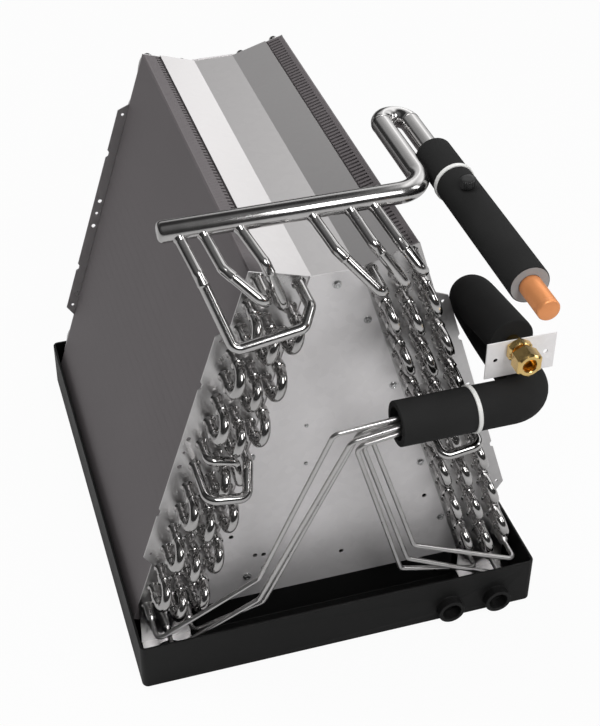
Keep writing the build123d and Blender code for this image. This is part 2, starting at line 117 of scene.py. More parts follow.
class Finish:
    """A new material by its name, or the world's own node tree."""

    def __init__(self, name, tree=None):
        if tree is None:
            self.material = bpy.data.materials.new(name)
            self.material.use_nodes = True
            tree = self.material.node_tree
        self.tree = tree
        self.tree.nodes.clear()

    def node(self, kind, settings=None, values=(), output=0):
        """Adds a node: its settings first, then its inputs by place or by name."""
        made = self.tree.nodes.new(kind)
        for key, setting in (settings or {}).items():
            setattr(made, key, setting)
        pairs = values.items() if isinstance(values, dict) else enumerate(values)
        for key, value in pairs:
            if isinstance(value, Value):
                self.tree.links.new(value.socket, made.inputs[key])
            else:
                made.inputs[key].default_value = value
        return Value(self, made.outputs[output]) if made.outputs else None

    def place(self):
        return self.node("ShaderNodeTexCoord", output="Object")

    def axis(self, place, name):
        return self.node("ShaderNodeSeparateXYZ", {}, (place,), output=name)

    def stretched(self, place, scale):
        return self.node("ShaderNodeMapping", {}, {"Vector": place, "Scale": scale})

    def noise(self, place, scale, detail=3.0, roughness=0.5):
        inputs = {"Vector": place, "Scale": scale, "Detail": detail, "Roughness": roughness}
        return self.node("ShaderNodeTexNoise", {}, inputs)

    def mix(self, share, first, second):
        inputs = {0: share, 6: first, 7: second}
        return self.node("ShaderNodeMix", {"data_type": "RGBA"}, inputs, output=2)

    def bump(self, height, strength, distance):
        inputs = {"Height": height, "Strength": strength, "Distance": distance}
        return self.node("ShaderNodeBump", {}, inputs)

    def surface(self, **inputs):
        """Finishes with a Principled shader; names use underscores for spaces."""
        named = {key.replace("_", " "): value for key, value in inputs.items()}
        shader = self.node("ShaderNodeBsdfPrincipled", {}, named)
        self.node("ShaderNodeOutputMaterial", {}, {"Surface": shader})
        return self.material


def grey(level):
    return (level, level, level, 1.0)


def toned(tone, share=1.0):
    """A colour whose parts are multiplied by share and held at 1."""
    return (*[min(part * share, 1.0) for part in tone], 1.0)


def drawn_tube(name, tone, dull):
    """Bright drawn aluminium: faint soft stains in colour and roughness, and a fine grain."""
    f = Finish(name)
    place = f.place()
    stains = f.noise(place, 60, 4)
    grain = f.noise(place, 900, 2)
    colour = f.mix(stains, toned(tone, 0.80), toned(tone, 1.12))
    return f.surface(Base_Color=colour, Metallic=1.0, Roughness=dull + stains * 0.10,
                     Normal=f.bump(grain, 0.05, 0.0002))


def rolled_sheet(name, tone, dull, wave, metallic=1.0, grain=0.00001):
    """Mill-finish sheet: a faint spangle, fine rolling lines and a slow waviness of the surface."""
    f = Finish(name)
    place = f.place()
    spangle = f.node("ShaderNodeTexVoronoi", {}, {"Vector": place, "Scale": 130.0}, output="Color")
    spangle = f.axis(spangle, "X")
    lines = f.noise(f.stretched(place, (40, 40, 900)), 1.0, 2)
    clouds = f.noise(place, 9, 3)
    colour = f.mix(spangle * 0.25 + clouds * 0.6, toned(tone, 0.90), toned(tone, 1.08))
    swell = f.noise(place, 14, 1.5) * wave + lines * grain
    return f.surface(Base_Color=colour, Metallic=metallic, Roughness=dull + clouds * 0.08 + spangle * 0.03,
                     Normal=f.bump(swell, 1.0, 1.0))


def fin_stock():
    """Thin aluminium plates: light ripples across the plates' edges and slow clouds."""
    f = Finish("fin_stock")
    place = f.place()
    ripple = f.noise(f.stretched(place, (1, 5, 1)), 120, 2)
    clouds = f.noise(place, 7, 2)
    colour = f.mix(ripple * 0.5 + clouds * 0.5, toned((0.134, 0.121, 0.125)), toned((0.173, 0.156, 0.162)))
    return f.surface(Base_Color=colour, Metallic=0.35, Roughness=0.50 + ripple * 0.12)


def moulded_pan():
    """Black moulded plastic: fine grain, soft sheen and a few dusty marks."""
    f = Finish("moulded_pan")
    place = f.place()
    grain = f.noise(place, 1400, 2)
    marks = f.noise(place, 22, 5, 0.6)
    dust = (marks - 0.55).clamped() * 0.12
    colour = f.mix(dust, grey(0.0070), grey(0.08))
    return f.surface(Base_Color=colour, Roughness=0.44 + marks * 0.16, Specular_IOR_Level=0.22,
                     Normal=f.bump(grain, 0.22, 0.0003))


def foam_rubber(name, level, dull=0.82):
    """Closed-cell foam: matt skin with fine cells and long faint flow marks."""
    f = Finish(name)
    place = f.place()
    cells = f.node("ShaderNodeTexVoronoi", {}, {"Vector": place, "Scale": 1500.0}, output="Distance")
    flow = f.noise(place, 30, 4)
    colour = f.mix(flow, grey(level * 0.8), grey(level * 1.25))
    return f.surface(Base_Color=colour, Roughness=dull + flow * 0.1, Specular_IOR_Level=0.15,
                     Normal=f.bump(cells, 0.25, 0.0004))


def warm_metal(name, light, dark, dull, fine, metallic=1.0):
    """Copper or brass: slow tarnish between two tones under fine tool marks."""
    f = Finish(name)
    place = f.place()
    tarnish = f.noise(place, 70, 4)
    marks = f.noise(f.stretched(place, (fine, 60, fine)), 1.0, 2)
    colour = f.mix(tarnish, toned(light), toned(dark))
    return f.surface(Base_Color=colour, Metallic=metallic, Roughness=dull + tarnish * 0.12,
                     Normal=f.bump(marks, 0.15, 0.0001))


def plastic(name, tone, dull):
    """Smooth moulded plastic with a fine grain."""
    f = Finish(name)
    place = f.place()
    grain = f.noise(place, 700, 2)
    colour = f.mix(grain, toned(tone, 0.92), toned(tone))
    return f.surface(Base_Color=colour, Roughness=dull + grain * 0.1, Normal=f.bump(grain, 0.1, 0.0002))


bright_tube = drawn_tube("bright_tube", (0.52, 0.51, 0.505), 0.09)
header_tube = drawn_tube("header_tube", (0.57, 0.56, 0.555), 0.12)
feeder_metal = drawn_tube("feeder_metal", (0.58, 0.57, 0.565), 0.24)
sheet_metal = rolled_sheet("sheet_metal", (0.60, 0.59, 0.59), 0.24, 0.0010)
plate_metal = rolled_sheet("plate_metal", (0.83, 0.81, 0.815), 0.34, 0.0005, 0.58)
pale_metal = rolled_sheet("pale_metal", (0.93, 0.91, 0.915), 0.40, 0.0004, 0.12)
baffle_metal = rolled_sheet("baffle_metal", (0.60, 0.585, 0.585), 0.27, 0.0001, 1.0, 0.000002)
fin_metal = fin_stock()
# fin_shadow is painted shade: a near-black finish for the walls and floors of the fins' slots and groove.
fin_shadow = plastic("fin_shadow", (0.03, 0.03, 0.03), 0.7)
pan_plastic = moulded_pan()
black_foam = foam_rubber("black_foam", 0.019)
grey_foam = foam_rubber("grey_foam", 0.30)
copper = warm_metal("copper", (0.95, 0.40, 0.16), (0.86, 0.33, 0.12), 0.40, 500, 0.55)
brass = warm_metal("brass", (0.86, 0.62, 0.26), (0.74, 0.50, 0.18), 0.16, 300)
tie_nylon = plastic("tie_nylon", (0.78, 0.78, 0.76), 0.4)
cap_plastic = plastic("cap_plastic", (0.016, 0.016, 0.016), 0.38)
screw_steel = drawn_tube("screw_steel", (0.60, 0.60, 0.60), 0.25)


# ---- Surfaces ------------------------------------------------------------------------------
class Skin:
    """Collects patches of one piece: points, four-sided faces and end faces. finish is the place
    of the patch's material in the piece's list, or one for each face."""

    def __init__(self):
        self.points, self.faces, self.finishes, self.count = [], [], [], 0

    def add(self, points, quads, ends=(), finish=0):
        points = np.asarray(points, float).reshape(-1, 3)
        new = (np.asarray(quads, int) + self.count).tolist()
        new += [[int(i) + self.count for i in end] for end in ends]
        self.points.append(points)
        self.faces += new
        self.finishes += np.broadcast_to(finish, len(new)).tolist()
        self.count += len(points)

    def piece(self, name, node, slot, *materials, sharp=35):
        """Makes the mesh, hides the CAD node that it stands for and fixes it to the frame."""
        mesh = bpy.data.meshes.new(name)
        mesh.from_pydata(np.concatenate(self.points).tolist(), [], self.faces)
        for material in materials:
            mesh.materials.append(material)
        mesh.polygons.foreach_set("material_index", self.finishes)
        mesh.shade_smooth()
        mesh.set_sharp_from_angle(angle=radians(sharp))
        mesh.update()
        made = bpy.data.objects.new(name, mesh)
        bpy.context.scene.collection.objects.link(made)
        return settle(made, node)


def settle(made, node):
    """Rides a finished piece on the body and lets it stand for its CAD node."""
    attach(made, "root")
    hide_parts(node)
    return made


def grid_quads(rings, around):
    """Faces of a grid of rings, each closed on itself: place, next place, and both a ring on."""
    ring = np.arange(rings - 1)[:, None] * around
    here = np.arange(around)[None, :]
    after = (here + 1) % around
    quads = np.stack([ring + here, ring + after, ring + around + after, ring + around + here], -1)
    return quads.reshape(-1, 4)


def around_axis(ahead, helper, around):
    """A ring of unit vectors about each axis: cos * normal + sin * binormal, where the normal is
    helper x axis and the binormal axis x normal."""
    normal = unit(np.cross(helper, ahead))
    binormal = np.cross(ahead, normal)
    angle = np.linspace(0, 2 * pi, around, endpoint=False)[:, None]
    return np.cos(angle) * normal[..., None, :] + np.sin(angle) * binormal[..., None, :]


def end_faces(rings, around, closed):
    """The first ring turned round and the last ring, where they are closed."""
    last = (rings - 1) * around
    ends = [range(around)[::-1], range(last, last + around)]
    return [end for end, wanted in zip(ends, closed) if wanted]


def unit(vector):
    """Each vector over its own length."""
    return vector / np.linalg.norm(vector, axis=-1, keepdims=True)


def rounded_route(corners, radius, steps=9):
    """Straight runs joined by arcs that touch both runs. Before a corner the arc begins at
    radius * tan(turn / 2); its centre is radius away towards the inside of the turn."""
    corners = np.asarray(corners, float)
    route = [corners[:1]]
    for before, corner, after in zip(corners[:-2], corners[1:-1], corners[2:]):
        into, out = unit(corner - before), unit(after - corner)
        turn = np.arccos(np.clip(into @ out, -1, 1))
        if turn > 1e-3:
            inward = unit(out - into * (into @ out))
            centre = corner - into * radius * tan(turn / 2) + inward * radius
            angle = np.linspace(0, turn, steps)[:, None]
            route.append(centre + radius * (np.sin(angle) * into - np.cos(angle) * inward))
    route.append(corners[-1:])
    return np.concatenate(route)


def travelled(route):
    """Distance along the route at each of its points."""
    return np.concatenate([[0], np.cumsum(np.linalg.norm(np.diff(route, axis=0), axis=1))])


# Directions that a tube's rings may start from; the one least in line with the route is used.
HELPERS = unit(np.array([[1, 0, 0], [0, 1, 0], [0, 0, 1], [1, 1, 1], [-1, 1, 1], [1, -1, 1], [1, 1, -1.0]]))


def swept(skin, route, stations, around=16, finish=0, closed=(True, True), bore=False):
    """A round profile carried along a route. stations gives (distance, radius) pairs; the radius
    between them is interpolated. A ring is centre + radius * (cos * normal + sin * binormal). The
    wall of a bore faces its own axis."""
    distance = travelled(route)
    stations = np.asarray(stations, float)
    inner = distance[(distance > stations[0, 0]) & (distance < stations[-1, 0])]
    where = np.sort(np.concatenate([stations[:, 0], inner]))
    keep = np.concatenate([[True], np.diff(where) > 1e-7])
    where = where[keep]
    radius = np.interp(where, stations[:, 0], stations[:, 1])
    centre = np.stack([np.interp(where, distance, route[:, i]) for i in range(3)], 1)
    runs = unit(np.diff(route, axis=0))
    corner = unit(np.concatenate([runs[:1], runs[:-1] + runs[1:], runs[-1:]]))
    ahead = unit(np.stack([np.interp(where, distance, corner[:, i]) for i in range(3)], 1))
    helper = HELPERS[np.argmin(np.abs(ahead @ HELPERS.T).max(0))]
    points = centre[:, None] + radius[:, None, None] * around_axis(ahead, helper, around)
    quads = grid_quads(len(where), around)[:, ::-1 if bore else 1]
    skin.add(points, quads, end_faces(len(where), around, closed), finish)


def turned(skin, origin, axis, profile, around=32, finish=0, closed=(True, True), lobes=0,
           lobe_depth=0.0):
    """A profile of (along, radius) pairs turned about an axis. With lobes, the radius is
    lessened by lobe_depth * (1 - cos(lobes * angle)) / 2."""
    axis = unit(np.asarray(axis, float))
    helper = [0, 0, 1.0] if abs(axis[2]) < 0.9 else [1.0, 0, 0]
    along, radius = np.asarray(profile, float).T[:, :, None, None]
    angle = np.linspace(0, 2 * pi, around, endpoint=False)[None, :, None]
    radius = radius - lobe_depth * (1 - np.cos(lobes * angle)) / 2
    points = np.asarray(origin, float) + along * axis + radius * around_axis(axis, helper, around)
    skin.add(points, grid_quads(len(profile), around), end_faces(len(profile), around, closed), finish)


def hexagon(skin, origin, axis, flats, start, stop, chamfer, hole, around=60, finish=0):
    """A hexagon between two places on an axis. At angle a its radius is half the flats over the
    cosine of a folded into one sixth of a turn, held inside a cone at the chamfered ends."""
    axis = unit(np.asarray(axis, float))
    angle = np.linspace(0, 2 * pi, around, endpoint=False)
    folded = (angle + pi / 6) % (pi / 3) - pi / 6
    side = flats / 2 / np.cos(folded)
    corner = flats / 2 / cos(pi / 6)
    along = np.array([start, start, start + chamfer, stop - chamfer, stop, stop, stop - 0.5 * mm])
    edge = corner - 2.2 * chamfer
    limit = np.array([hole, edge, corner, corner, edge, hole + 0.6 * mm, hole])
    radius = np.minimum(side[None], limit[:, None])
    ring = around_axis(axis, [0, 0, 1.0], around)
    points = np.asarray(origin, float) + along[:, None, None] * axis + radius[..., None] * ring
    skin.add(points, grid_quads(len(along), around), (), finish)
    inside = np.array([[stop - 0.5 * mm, hole], [start, hole]])
    turned(skin, origin, axis, inside, around, finish, (False, False))


def bevelled_copy(node, name, material, width, segments=2, edge=30):
    """A merged copy of a CAD node with its edges rounded by a narrow bevel."""
    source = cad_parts[node]
    mesh = source.data.copy()
    mesh.name = name
    shape = bmesh.new()
    shape.from_mesh(mesh)
    bmesh.ops.remove_doubles(shape, verts=shape.verts, dist=1e-6)
    bmesh.ops.dissolve_limit(shape, angle_limit=radians(1), verts=shape.verts, edges=shape.edges)
    shape.to_mesh(mesh)
    shape.free()
    mesh.materials.clear()
    mesh.materials.append(material)
    mesh.shade_smooth()
    mesh.set_sharp_from_angle(angle=radians(edge))
    made = bpy.data.objects.new(name, mesh)
    bpy.context.scene.collection.objects.link(made)
    bevel = made.modifiers.new("edges", "BEVEL")
    bevel.width, bevel.segments, bevel.limit_method = width, segments, "ANGLE"
    bevel.angle_limit = radians(edge)
    bevel.harden_normals = True
    return settle(made, node)


# ---- Pan, sheets and plates ------------------------------------------------------------------
bevelled_copy("drain_pan", "pan_moulding", pan_plastic, 0.7 * mm)
bevelled_copy("top_baffle", "baffle_sheet", baffle_metal, 0.2 * mm, 1, 10)


def baffle_hem(name, face_y, inward):
    """The baffle's end is turned down over the top of the end plate: a thin prism whose outline
    follows the folds above and the plate's edge below. face_y is its outer face, inward +1 at the
    front and -1 at the rear."""
    fold = on_slab(RIGHT, slab_thickness - 1.6 * mm, -sheet)
    foot = on_slab(RIGHT, slab_thickness - 1.6 * mm, 9 * mm)
    outline = [(-foot[0], foot[1]), (foot[0], foot[1]), fold, (-fold[0], fold[1])]
    outer, inner = face_y - inward * 0.3 * mm, face_y + inward * (sheet + 0.2 * mm)
    points = [(x, y, z) for y in sorted((outer, inner)) for x, z in outline]
    faces = [[0, 1, 2, 3], [7, 6, 5, 4], [0, 4, 5, 1], [1, 5, 6, 2], [2, 6, 7, 3], [3, 7, 4, 0]]
    skin = Skin()
    skin.add(points, faces)
    skin.piece(name, "top_baffle", "sheet_metal", plate_metal)


baffle_hem("front_hem", coil_front - sheet, 1)
baffle_hem("rear_hem", coil_back + sheet, -1)
for node, material in (("front_delta_plate", plate_metal), ("rear_delta_plate", plate_metal),
                       ("connection_plate", pale_metal)):
    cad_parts[node].data.materials.clear()
    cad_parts[node].data.materials.append(material)
for _, hand in SIDES:
    for end in ("front", "rear"):
        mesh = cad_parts[f"{hand}_{end}_tube_sheet"].data
        mesh.materials.clear()
        mesh.materials.append(sheet_metal)


# ---- Fin packs ----------------------------------------------------------------------------------
plates = 148
fin_thickness = 0.42 * mm
fin_wave = 0.30 * mm
fin_corner = 3.0 * mm
core_inset = 0.08 * mm
core_corner = 1.5 * mm
core_gap = 0.01 * mm
slot_starts = {LEFT: 13.5 * mm, RIGHT: 5.5 * mm}
slot_end, groove_end = 17.6 * mm, 19.2 * mm
slot_depth = 5.0 * mm


def fin_edges(drop):
    """How far a fin's edges stand in from the slab's faces: a wave of two crests to each tube,
    and quarter rounds at the top and bottom corners."""
    wave = fin_wave * (1 - np.cos(4 * pi * drop / tube_pitch)) / 2
    from_end = np.minimum(drop, slab_length - drop)
    into_corner = np.clip(fin_corner - from_end, 0, fin_corner)
    return wave + fin_corner - np.sqrt(fin_corner ** 2 - into_corner ** 2)


def prisms(skin, side, outline, starts, length, finishes):
    """One closed block for each start: the outline (depth, drop) stands at Y = start and again at
    start + length. finishes names the material of each side; the ends take the first one."""
    outline = np.array(outline)
    x, z = on_slab(side, outline[:, 0], outline[:, 1])
    blocks, around = len(starts), len(outline)
    points = np.empty((blocks, 2, around, 3))
    points[..., 0] = x
    points[..., 1] = (starts[:, None] + [0, length])[..., None]
    points[..., 2] = z
    here = np.arange(around)
    sides = grid_quads(2, around)[:, ::-side]
    caps = np.stack([here[::side], here[::-side] + around])
    shift = 2 * around * np.arange(blocks)[:, None, None]
    end_finishes = np.full(2 * blocks, finishes[0])
    skin.add(points, (sides + shift).reshape(-1, 4), (caps + shift).reshape(-1, around),
             np.concatenate([np.tile(finishes, blocks), end_finishes]))


def fin_plates(skin, side, starts):
    """Thin plates down the slab: at each level of the drop the four corners of a plate are its
    outer and inner edge, at Y = start and at start + fin_thickness."""
    corner = fin_corner * np.array([0, 0.12, 0.4, 1.0])
    run = np.linspace(fin_corner, slab_length - fin_corner, 4 * tubes_per_row + 1)[1:-1]
    drop = np.concatenate([corner, run, slab_length - corner[::-1]])
    inset = fin_edges(drop)
    depth = np.stack([inset, slab_thickness - inset, slab_thickness - inset, inset])
    x, z = on_slab(side, depth, drop)
    levels = len(drop)
    points = np.empty((len(starts), 4, levels, 3))
    points[..., 0] = x
    points[..., 1] = (starts[:, None] + [0, 0, fin_thickness, fin_thickness])[..., None]
    points[..., 2] = z
    here = (np.arange(4) * levels)[:, None] + np.arange(levels - 1)
    after = np.roll(here, -1, 0)
    walls = np.stack([here, after, after + 1, here + 1], -1).reshape(-1, 4)
    ends = np.array([[3, 2, 1, 0], [0, 1, 2, 3]]) * levels + [[0], [levels - 1]]
    faces = np.concatenate([walls, ends])[:, ::side]
    shift = 4 * levels * np.arange(len(starts))[:, None, None]
    skin.add(points, (faces + shift).reshape(-1, 4))


def fin_pack(side, hand):
    """Plates at an even pitch along the coil on a solid core. Beside the baffle runs a groove,
    and each second gap between plates is an open slot."""
    skin = Skin()
    pitch = (fins_high.y - fins_low.y - fin_thickness) / (plates - 1)
    first = fins_low.y + np.arange(plates) * pitch
    fin_plates(skin, side, first)
    near, far = core_inset, slab_thickness - core_inset
    low = slab_length - core_inset
    # The walls and floors of the slots and the groove take fin_shadow, painted shade standing in for the
    # shade inside these recesses.
    painted_shade_walls = [0, 0, 1, 1, 1, 0, 0, 0, 0]
    closed_run = (slot_end, first[0::2] + core_gap, pitch + fin_thickness - 2 * core_gap)
    open_run = (slot_starts[side], first[1:-1:2] + fin_thickness - core_gap,
                pitch - fin_thickness + 2 * core_gap)
    for open_from, starts, length in (closed_run, open_run):
        outline = [(near, core_corner), (core_corner, near), (open_from, near), (open_from, slot_depth),
                   (groove_end, slot_depth), (groove_end, near), (far, near), (far, low), (near, low)]
        prisms(skin, side, outline, starts, length, painted_shade_walls)
    skin.piece(f"{hand}_fins", f"{hand}_fin_pack", "fin_aluminium", fin_metal, fin_shadow, sharp=30)


for side, hand in SIDES:
    fin_pack(side, hand)

# ---- Return bends ----------------------------------------------------------------------------------
front_stub = 22.0 * mm
rear_stub = 4.0 * mm
collar = [(0.0, 6.6 * mm), (0.7 * mm, 6.2 * mm), (1.6 * mm, 5.3 * mm), (2.6 * mm, tube_radius * 1.03)]
cup = [(9.5 * mm, tube_radius * 1.03), (10.8 * mm, 5.75 * mm), (11.5 * mm, 5.9 * mm), (17.0 * mm, 5.95 * mm),
       (17.3 * mm, 6.15 * mm), (18.0 * mm, 6.15 * mm), (18.3 * mm, 5.6 * mm), (19.3 * mm, tube_radius)]


def both_ends(length, features, radius=tube_radius):
    """Stations of a tube whose two ends carry the same features."""
    near = list(features) + [(features[-1][0] + 0.1 * mm, radius)]
    return near + [(length - s, r) for s, r in reversed(near)]


def u_route(top, low, face, outward, stub, steps=15):
    """Out from one tube, half a circle round to the next, and back."""
    top, low = np.array(top), np.array(low)
    middle, half = (top + low) / 2, (top - low) / 2
    radius = np.linalg.norm(half)
    turn = np.linspace(0, pi, steps)
    x_z = middle + half * np.cos(turn)[:, None]
    y = face + outward * (stub + radius * np.sin(turn))
    arc = np.stack([x_z[:, 0], y, x_z[:, 1]], 1)
    return np.concatenate([[[top[0], face, top[1]]], arc, [[low[0], face, low[1]]]])


def tube_end(place, y):
    return (place[0], y, place[1])


crossed = 7
for side, hand in SIDES:
    front, rear = Skin(), Skin()
    for row in (OUTER, MIDDLE, INNER):
        for upper in range(1, tubes_per_row - 2, 2):
            if upper != crossed or row == MIDDLE:
                route = u_route(tube_place(side, row, upper), tube_place(side, row, upper + 1),
                                coil_front, -1, front_stub)
                swept(front, route, both_ends(travelled(route)[-1], collar + cup))
        for upper in range(0, tubes_per_row, 2):
            route = u_route(tube_place(side, row, upper), tube_place(side, row, upper + 1),
                            coil_back, 1, rear_stub)
            swept(rear, route, both_ends(travelled(route)[-1], collar))
    front.piece(f"{hand}_front_u_bends", f"{hand}_return_bends", "tube_metal", bright_tube, sharp=25)
    rear.piece(f"{hand}_rear_u_bends", f"{hand}_hairpin_bends", "tube_metal", bright_tube, sharp=25)

outer_reach, inner_reach = coil_front - 48 * mm, coil_front - 24 * mm
for side, hand in SIDES:
    low_outer, high_inner = tube_place(side, OUTER, crossed + 1), tube_place(side, INNER, crossed)
    high_outer, low_inner = tube_place(side, OUTER, crossed), tube_place(side, INNER, crossed + 1)
    dip = on_slab(side, 2.4 * row_pitch, (crossed + 1.05) * tube_pitch)
    over = on_slab(side, 1.785 * row_pitch, (crossed + 0.25) * tube_pitch)
    lower = [tube_end(low_outer, coil_front), tube_end(low_outer, outer_reach), tube_end(dip, outer_reach),
             tube_end(high_inner, coil_front - 22 * mm), tube_end(high_inner, coil_front)]
    upper = [tube_end(high_outer, coil_front), tube_end(high_outer, inner_reach),
             tube_end(over, inner_reach), tube_end(low_inner, inner_reach),
             tube_end(low_inner, coil_front)]
    for name, corners, bend in (("lower", lower, 9 * mm), ("upper", upper, 6 * mm)):
        skin = Skin()
        route = rounded_route(corners, bend)
        swept(skin, route, both_ends(travelled(route)[-1], collar))
        skin.piece(f"{hand}_{name}_crossing_tube", f"{hand}_crossover_{name}", "tube_metal", bright_tube)

# ---- Suction header and branches -------------------------------------------------------------------
header_low, header_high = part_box("suction_header")
header_left = header_low.x
header_y = header_low.y + suction_radius
header_z = header_high.z - suction_radius
turn_y = header_high.y
suction_return_x = header_high.x - suction_radius
stub_low, stub_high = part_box("suction_stub")
suction_x = (stub_low.x + stub_high.x) / 2

skin = Skin()
route = rounded_route([(header_left, header_y, header_z), (suction_return_x, header_y, header_z),
                       (suction_return_x, turn_y, header_z)], 26 * mm, 13)
length = travelled(route)[-1]
dome = [(0, 5.5 * mm), (0.6 * mm, 7.4 * mm), (1.8 * mm, 8.7 * mm), (3.4 * mm, suction_radius)]
swept(skin, route, dome + [(length, suction_radius)], 28)
skin.piece("header_tube_run", "suction_header", "tube_metal", header_tube)

skin = Skin()
suction_z = (stub_low.z + stub_high.z) / 2
turn_ends = np.array([(suction_return_x, turn_y, header_z), (suction_x, turn_y, suction_z)])
turn_half = (turn_ends[0] - turn_ends[1]) / 2
angle = np.linspace(0, pi, 25)[:, None]
arc = turn_ends.mean(0) + turn_half * np.cos(angle)
arc[:, 1:2] += np.linalg.norm(turn_half) * np.sin(angle)
length = travelled(arc)[-1]
lip = 0.25 * mm
swept(skin, arc, [(0, suction_radius + lip), (2 * mm, suction_radius + lip), (2.6 * mm, suction_radius),
                  (length - 2.6 * mm, suction_radius), (length - 2 * mm, suction_radius + lip),
                  (length, suction_radius + lip)], 28)
skin.piece("header_u_turn", "suction_u_bend", "tube_metal", header_tube)

line_low, line_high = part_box("suction_line")
skin = Skin()
turned(skin, (suction_x, line_high.y, suction_z), (0, -1, 0),
       [(0, suction_radius), (line_high.y - line_low.y, suction_radius)])
skin.piece("suction_pipe", "suction_line", "tube_metal", header_tube)
skin = Skin()
stub_length = stub_high.y - stub_low.y
shoulder = 20.6 * mm
spigot = 9.0 * mm
turned(skin, (suction_x, stub_high.y, suction_z), (0, -1, 0),
       [(0, spigot), (shoulder, spigot), (shoulder, suction_radius - 0.2 * mm),
        (shoulder + 0.2 * mm, suction_radius),
        (stub_length - 6.2 * mm, suction_radius), (stub_length - 5.8 * mm, suction_radius - 0.2 * mm),
        (stub_length - 5.2 * mm, suction_radius - 0.2 * mm), (stub_length - 4.8 * mm, suction_radius),
        (stub_length - 1.5 * mm, suction_radius), (stub_length - 0.6 * mm, suction_radius - 0.5 * mm),
        (stub_length, suction_radius - 1.6 * mm)], 40)
skin.piece("copper_stub", "suction_stub", "copper", copper)

branches = (
    (LEFT, INNER, -99.7, -89.7),
    (LEFT, OUTER, -43.3, -32.3),
    (LEFT, MIDDLE, -27.8, -11.8),
    (RIGHT, INNER, -51.3, -36.3),
    (RIGHT, MIDDLE, -40.2, -26.2),
    (RIGHT, OUTER, -33.7, -18.7),
)
for number, (side, row, start, joint) in enumerate(branches, 1):
    x, z = tube_place(side, row, 0)
    corners = [(x + start * mm, header_y, header_z),
               (x + joint * mm, header_y - 35 * mm, header_z - 22 * mm)]
    if number == 1:
        corners += [(x - 69.7 * mm, coil_front - 50 * mm, z - 19 * mm),
                    (x - 10.5 * mm, coil_front - 50 * mm, z - 9 * mm), (x, coil_front - 34 * mm, z)]
    elif row == MIDDLE:
        corners += [(x + 3.3 * mm, coil_front - 27 * mm, z + 1 * mm), (x, coil_front - 6 * mm, z)]
    else:
        corners += [(x, coil_front - 44 * mm, z)]
    corners += [(x, coil_front, z)]
    route = rounded_route(corners, 8 * mm)
    length = travelled(route)[-1]
    joint_at = np.linalg.norm(np.subtract(corners[1], corners[0]))
    root = suction_radius
    stations = [(root - 3 * mm, 5.9 * mm), (root + 0.3 * mm, 5.5 * mm), (root + 1.4 * mm, 5.0 * mm),
                (root + 2.8 * mm, tube_radius), (joint_at - 4 * mm, tube_radius),
                (joint_at - 1 * mm, 5.0 * mm), (joint_at + 9 * mm, 5.0 * mm),
                (joint_at + 9.4 * mm, 5.2 * mm), (joint_at + 10.2 * mm, 5.2 * mm),
                (joint_at + 10.7 * mm, 4.9 * mm), (joint_at + 12 * mm, tube_radius)]
    stations += [(length - s, r) for s, r in reversed(collar)]
    skin = Skin()
    swept(skin, route, stations, 18)
    skin.piece(f"branch_tube_{number}", f"suction_branch_{number}", "tube_metal", header_tube)


# ---- Foam sleeves, ties and the service port ------------------------------------------------------
def sleeve(name, node, corners, foam_radius, hole, bend=0.0, mouth=0.9 * mm, end_finish=(0, 0)):
    """A thick foam tube: an outer skin, an inner skin and rounded ring faces at its ends."""
    skin = Skin()
    route = rounded_route(corners, bend, 13) if bend else np.asarray(corners, float)
    length = travelled(route)[-1]
    rim = foam_radius - mouth
    swept(skin, route, [(0, rim), (mouth * 0.3, foam_radius - mouth * 0.3), (mouth, foam_radius),
                        (length - mouth, foam_radius), (length - mouth * 0.3, foam_radius - mouth * 0.3),
                        (length, rim)], 40, 0, (False, False))
    swept(skin, route[::-1], [(0, hole), (length, hole)], 40, 0, (False, False), bore=True)
    for at, ahead, finish in ((route[0], route[0] - route[1], end_finish[0]),
                              (route[-1], route[-1] - route[-2], end_finish[1])):
        turned(skin, at, ahead, [(0, rim), (0, hole)], 40, finish, (False, False))
    skin.piece(name, node, "foam", black_foam, grey_foam)


short_low, short_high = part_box("suction_sleeve_short")
long_low, long_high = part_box("suction_sleeve_long")
sleeve("short_foam", "suction_sleeve_short",
       [(suction_x, short_high.y, suction_z), (suction_x, short_low.y, suction_z)],
       suction_foam_radius, suction_radius)
sleeve("long_foam", "suction_sleeve_long",
       [(suction_x, long_high.y, suction_z), (suction_x, long_low.y, suction_z)],
       suction_foam_radius, suction_radius, end_finish=(0, 1))

sleeve_low, sleeve_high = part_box("distributor_sleeve")
run_y, run_z = (sleeve_low.y + sleeve_high.y) / 2, (sleeve_low.z + sleeve_high.z) / 2
run_left, run_tie = sleeve_low.x, sleeve_high.x
sleeve("distributor_foam", "distributor_sleeve", [(run_left, run_y, run_z), (run_tie, run_y, run_z)],
       liquid_foam_radius, 15 * mm)
lower_x = pan_high.x - 37 * mm
upper_x, upper_z = pan_high.x - 60 * mm, 338 * mm
fitting_x, fitting_z = pan_high.x - 53 * mm, 342 * mm
liquid_turn_y = coil_front + 36.7 * mm
connection_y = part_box("connection_plate")[1].y
liquid_corners = [(lower_x, run_y, run_z), (lower_x, liquid_turn_y, run_z),
                  (upper_x, liquid_turn_y, upper_z), (fitting_x, connection_y + 14 * mm, fitting_z)]
sleeve("liquid_foam", "liquid_line_sleeve",
       [(run_tie, run_y, run_z)] + liquid_corners + [(fitting_x, connection_y + 11 * mm, fitting_z)],
       liquid_foam_radius, tube_radius, 22 * mm)
skin = Skin()
liquid_ends = (90 * mm, run_y, run_z), (fitting_x, connection_y + 3 * mm, fitting_z)
route = rounded_route([liquid_ends[0], *liquid_corners, liquid_ends[1]], 22 * mm)
swept(skin, route, [(0, tube_radius), (travelled(route)[-1], tube_radius)], 16)
skin.piece("liquid_pipe", "liquid_line", "tube_metal", bright_tube)


